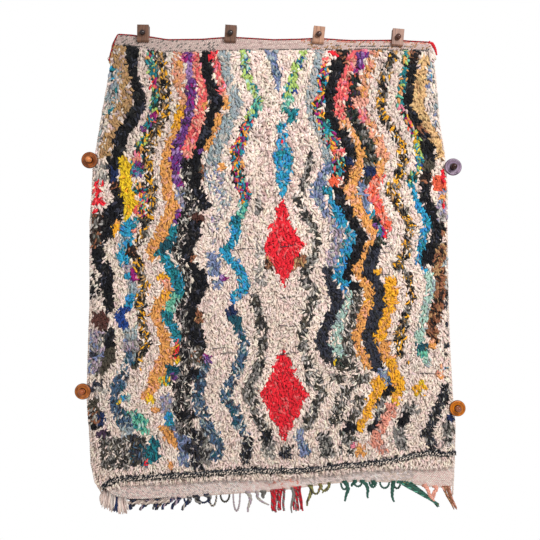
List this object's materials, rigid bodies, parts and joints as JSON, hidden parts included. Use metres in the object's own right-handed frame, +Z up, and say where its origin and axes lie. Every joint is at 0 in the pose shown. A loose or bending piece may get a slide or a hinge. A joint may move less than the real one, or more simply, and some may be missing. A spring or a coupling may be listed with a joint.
{
  "type": "boucherouite rug on wooden wall clips and wooden wall pegs",
  "caption": "Shaggy rag-pile rug with zigzag and diamond pattern, hung flat on a wall by wooden clips at its heading and turned wooden pegs at its sides.",
  "frame": {"origin": "centre of the back face of the second clip from the left, on the wall plane", "axes": "+Z up along the hung length, +X to the right seen from the front, +Y into the wall; the pile faces -Y"},
  "size_m": [1.254, 0.0516, 1.5734],
  "materials": {
    "rag_pile": "shaggy multicoloured cotton and wool rag pile",
    "twined_binding": "twined yarn, matt",
    "fringe_yarn": "loose yarn, matt",
    "tassel_rags": "cut rag strips, matt",
    "clip_wood": "oiled walnut, upright grain",
    "clip_ball": "dark varnish, glossy",
    "peg_wood_1": "varnished, turned",
    "peg_wood_2": "purple-grey stain, turned",
    "peg_wood_3": "varnished, turned",
    "peg_wood_4": "varnished, turned",
    "peg_ball_1": "varnished",
    "peg_ball_2": "dark varnish",
    "peg_ball_3": "varnished",
    "peg_ball_4": "varnished"
  },
  "bodies": {
    "root": {"rug": "rag_pile", "top_binding": "twined_binding", "fringe": "fringe_yarn", "corner_tassel": "tassel_rags", "clip_back_1": "clip_wood", "clip_front_1": "clip_wood", "clip_knob_1": "clip_ball", "clip_back_2": "clip_wood", "clip_front_2": "clip_wood", "clip_knob_2": "clip_ball", "clip_back_3": "clip_wood", "clip_front_3": "clip_wood", "clip_knob_3": "clip_ball", "clip_back_4": "clip_wood", "clip_front_4": "clip_wood", "clip_knob_4": "clip_ball", "peg_disc_1": "peg_wood_1", "peg_knob_1": "peg_ball_1", "peg_disc_2": "peg_wood_2", "peg_knob_2": "peg_ball_2", "peg_disc_3": "peg_wood_3", "peg_knob_3": "peg_ball_3", "peg_disc_4": "peg_wood_4", "peg_knob_4": "peg_ball_4"}
  },
  "joints": []
}
